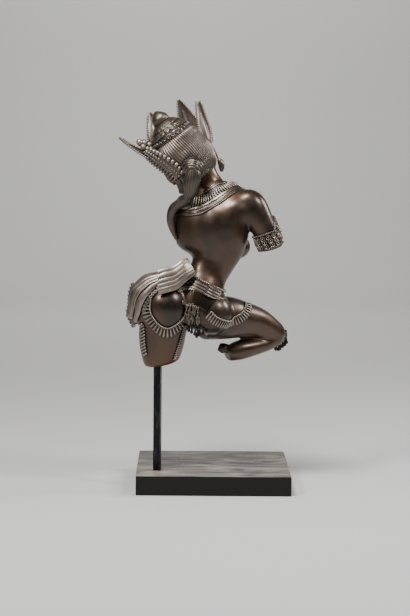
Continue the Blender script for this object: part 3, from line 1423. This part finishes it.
# share across the plate, gap, size
TEMPLE_BEADS = [(0.06, 8.2, 4.2), (0.42, 5.8, 2.9), (0.66, 4.0, 1.8)]
TEMPLE_BEAD_LIFT = 4.5
# share across the plate, lift, gap, length, half width, slant
TEMPLE_DROPS = (0.70, 2.5, 6.2, 13, 3.0, 0.2)
# right, forward, up, half length, half width
DIADEM_LUMPS = [(-51, 4, 58, 7.5, 6.0), (-45, 2, 52, 7, 5.4), (-40, 0, 45, 6, 5.0),
              (-51, 0, 48, 6.5, 5.2), (-47, -2, 41, 5.5, 4.6), (-42, -3, 38, 4.5, 4.2)]
EAR_PLATE = [[(-36, -12, -26), (-33, -12, -36), (-34, -12, -46), (-40, -10, -58)],
             [(-42, -4, -24), (-42, -4, -34), (-44, -4, -44), (-47, -4, -52)]]
EAR_SWELL, EAR_THICK = 1.5, 3
HOOK_HALF, PENDANT_HALF = 1.6, 5.5
RIGHT_HOOK = [(47, -2, -18), (45, -3, -32), (42, -4, -44)]
RIGHT_DROP = [(43, -4, -42), (41, -4, -53), (34, -4, -64)]


def in_crown(stations, steps=8):
    """A smooth line given in the crown's frame, facing away from its axis."""
    line = []
    for place in curve(stations, steps):
        out = Vector((place.x, place.y, 0)).normalized()
        line.append((AT_CROWN @ place, CROWN_TURN @ out))
    return line


def crown_grid(rails, swell, columns=16):
    """A grid between two rails in the crown's frame, swollen outwards in its middle."""
    first, second = (in_crown(rail) for rail in rails)
    grid = []
    for (a, out), (b, _) in zip(first, second):
        row = []
        for j in range(columns + 1):
            share = j / columns
            row.append(a.lerp(b, share) + out * swell * math.sin(math.pi * share))
        grid.append(row)
    return grid


def bulged(half):
    """How thick a pendant is along its length."""
    return lambda share: half * (0.25 + 0.75 * math.sin(math.pi * share) ** 0.7)


def make_diadem():
    """The band with its lines and beads, the temple plate, and what hangs from it."""
    up = CROWN_TURN @ Vector((0, 0, 1))
    bm = bmesh.new()
    line = in_crown(DIADEM)
    grid = []
    for share in np.linspace(-1, 1, 15):
        swell = DIADEM_RELIEF * abs(math.cos(math.pi * 1.5 * share))
        grid.append([place + up * DIADEM_HALF_HIGH * share + out * swell for place, out in line])
    add_sheet(bm, grid, DIADEM_THICK)
    add_sheet(bm, crown_grid(TEMPLE_RAILS, TEMPLE_SWELL), TEMPLE_THICK)
    add_sheet(bm, crown_grid(EAR_PLATE, EAR_SWELL), EAR_THICK)
    add_tube(bm, in_crown(RIGHT_HOOK), HOOK_HALF)
    add_tube(bm, in_crown(RIGHT_DROP), bulged(PENDANT_HALF), sides=24)
    cast(made_from(bm, "diadem"), carved_bronze)
    lift, rise, gap, size = DIADEM_BEADS
    beads = beads_on([(place + up * rise, out) for place, out in lifted(line, lift)], gap, size)
    rails = [in_crown(rail) for rail in TEMPLE_RAILS]

    def across(share, lift):
        return [(a.lerp(b, share) + out * lift, out) for (a, out), (b, _) in zip(*rails)]
    for share, gap, size in TEMPLE_BEADS:
        beads += beads_on(across(share, TEMPLE_BEAD_LIFT), gap, size)
    studded("diadem_beads", beads, BEADS, bright_bronze)
    share, lift, gap, length, half, slant = TEMPLE_DROPS
    drops = []
    for place, out, along in evenly(across(share, lift), gap):
        side = out.cross(along).normalized()
        way = side if side.dot(CROWN_TURN @ Vector((-1, 0, 0))) > 0 else -side
        drops.append((place, out, (way - along * slant).normalized(), (half, length, half)))
    studded("diadem_drops", drops, PETALS, carved_bronze)
    lumps = []
    for right, forward, rise, long, wide in DIADEM_LUMPS:
        place = AT_CROWN @ Vector((right, forward, rise))
        lumps.append((place, CROWN_TURN @ BACKWARDS, up, (wide, long, wide * 0.9)))
    studded("diadem_lumps", lumps, BEADS, bright_bronze)


make_diadem()

# The bun and the lock. Strands are coiled at the nape, and one long combed lock falls from
# them behind the left shoulder.
BUN_PLACE, BUN_RADII = (HEAD[0] + 16, HEAD[1] - 54, HEAD[2] - 23), (18.5, 18, 16.5)
BUN_COILS, BUN_RIDGE = 4, 0.07
LOCK = [
    (HEAD[0] + 16, HEAD[1] - 66, HEAD[2] - 17, 2.5, 2.5, 0),
    (HEAD[0] + 16, HEAD[1] - 66, HEAD[2] - 25, 8, 6, 0),
    (HEAD[0] + 16, HEAD[1] - 64, HEAD[2] - 37, 13, 10, 0),
    (HEAD[0] + 13, HEAD[1] - 61, HEAD[2] - 51, 13, 11, 0), (53.5, -36, 305, 10, 9.5, 0),
    (50, -28, 295, 9, 8.5, 0), (43, -22, 288.5, 8.5, 8, 0), (34, -18, 282.5, 8, 7.5, 0),
    (25.5, -13, 275, 8, 7, 0), (21, -10, 264, 7, 6.5, 0), (21, -8, 251, 6.5, 6, 0),
    (24.5, -6, 237, 5, 5, 0), (31, -4, 222, 3, 4, 0),
]
LOCK_STRANDS, LOCK_RIDGE = 16, 0.055


def make_bun():
    """The coil and the lock, with their strands as ridges."""
    bm = bmesh.new()
    bmesh.ops.create_uvsphere(bm, u_segments=96, v_segments=60, radius=1)
    for vertex in bm.verts:
        x, _, z = vertex.co
        coil = math.pi * BUN_COILS * math.hypot(x + 0.15, z + 0.5)
        swell = 1 + BUN_RIDGE * abs(math.cos(coil)) ** 0.7
        vertex.co = Vector(BUN_PLACE) + Vector(BUN_RADII) * vertex.co * swell

    def combed(angle, share):
        return 1 + LOCK_RIDGE * abs(math.cos(LOCK_STRANDS * angle / 2 + 1.5 * share)) ** 0.7
    add_limb(bm, LOCK, sides=160, steps=12, fold=combed)
    cast(made_from(bm, "bun_and_lock"), carved_bronze)


make_bun()

# The studio. A pale floor that runs up into a wall far behind the figure, soft lights over
# it and at its sides, one for the wall, and the camera where the photographer stood.
FLOOR_COLOUR = (0.56, 0.55, 0.54, 1)
FLOOR_CLOUD = (0.60, 0.59, 0.58, 1)
FLOOR_BACK, FLOOR_HALF, WALL_TOP = 3.4, 4.5, 4.0
FLOOR_BEND, FLOOR_STEPS = 1.0, 8
FLOOR_CLOUDS, FLOOR_ROUGHNESS = 1.5, 0.8
ROOM_LIGHT = (0.03, 0.031, 0.033, 1)
CAMERA_PLACE = (-0.0514, -3.0301, 0.6146)
CAMERA_YAW, CAMERA_PITCH, CAMERA_ROLL = 0.0116, 0.0994, 0.0095
CAMERA_LENS = 100.6
# name, place, aim, size, power
LIGHTS = [
    ("over", (-0.35, -0.75, 1.9), (0, 0, 0.42), 0.4, 36),
    ("rim", (1.5, 0.3, 1.2), (0, 0, 0.42), 0.5, 18),
    ("left", (-1.2, -1.2, 1.7), (0, 0, 0.42), 0.35, 26),
    ("right", (1.2, -0.9, 1.7), (0, 0, 0.42), 0.35, 22),
    ("wall", (0.0, 2.3, 2.7), (0, 4.4, 0.9), 1.2, 70),
]


def make_floor():
    """A floor that curves up into a backdrop."""
    bm = bmesh.new()
    profile = [(-FLOOR_BACK, 0.0), (FLOOR_BACK, 0.0)]
    for step in range(1, FLOOR_STEPS + 1):
        turn = math.pi / 2 * step / FLOOR_STEPS
        profile.append((FLOOR_BACK + FLOOR_BEND * math.sin(turn), FLOOR_BEND * (1 - math.cos(turn))))
    profile.append((FLOOR_BACK + FLOOR_BEND, WALL_TOP))
    rows = [[bm.verts.new((side * FLOOR_HALF, y, z)) for side in (-1, 1)] for y, z in profile]
    for low, high in zip(rows, rows[1:]):
        bm.faces.new((low[0], low[1], high[1], high[0]))
    made = shown("floor", mesh_of(bm, "floor"))
    material, tree, shader = new_material("pale_floor")
    cloud = noise(tree, piece_places(tree), FLOOR_CLOUDS, 3)
    feed(tree, shader, {"Base Color": blended(tree, cloud, FLOOR_COLOUR, FLOOR_CLOUD),
                        "Roughness": FLOOR_ROUGHNESS})
    finish(made, material)
    made.data.shade_smooth()
    return made


make_floor()
for name, place, aim, size, power in LIGHTS:
    lamp = bpy.data.lights.new(name, 'AREA')
    lamp.size = size
    lamp.energy = power
    stand = shown(name, lamp)
    stand.location = place
    stand.rotation_euler = (Vector(aim) - Vector(place)).to_track_quat('-Z', 'Y').to_euler()
world = bpy.data.worlds.new("studio")
world.use_nodes = True
world.node_tree.nodes["Background"].inputs[0].default_value = ROOM_LIGHT
bpy.context.scene.world = world

lens = bpy.data.cameras.new("camera")
lens.sensor_fit = 'VERTICAL'
lens.sensor_height = 36
lens.lens = CAMERA_LENS
camera = shown("camera", lens)
camera.location = CAMERA_PLACE
camera.rotation_euler = (Matrix.Rotation(-CAMERA_YAW, 4, 'Z')
                         @ Matrix.Rotation(math.pi / 2 - CAMERA_PITCH, 4, 'X')
                         @ Matrix.Rotation(CAMERA_ROLL, 4, 'Z')).to_euler()
bpy.context.scene.camera = camera

for stock in list(STOCKS.objects):
    bpy.data.objects.remove(stock)
bpy.data.collections.remove(STOCKS)
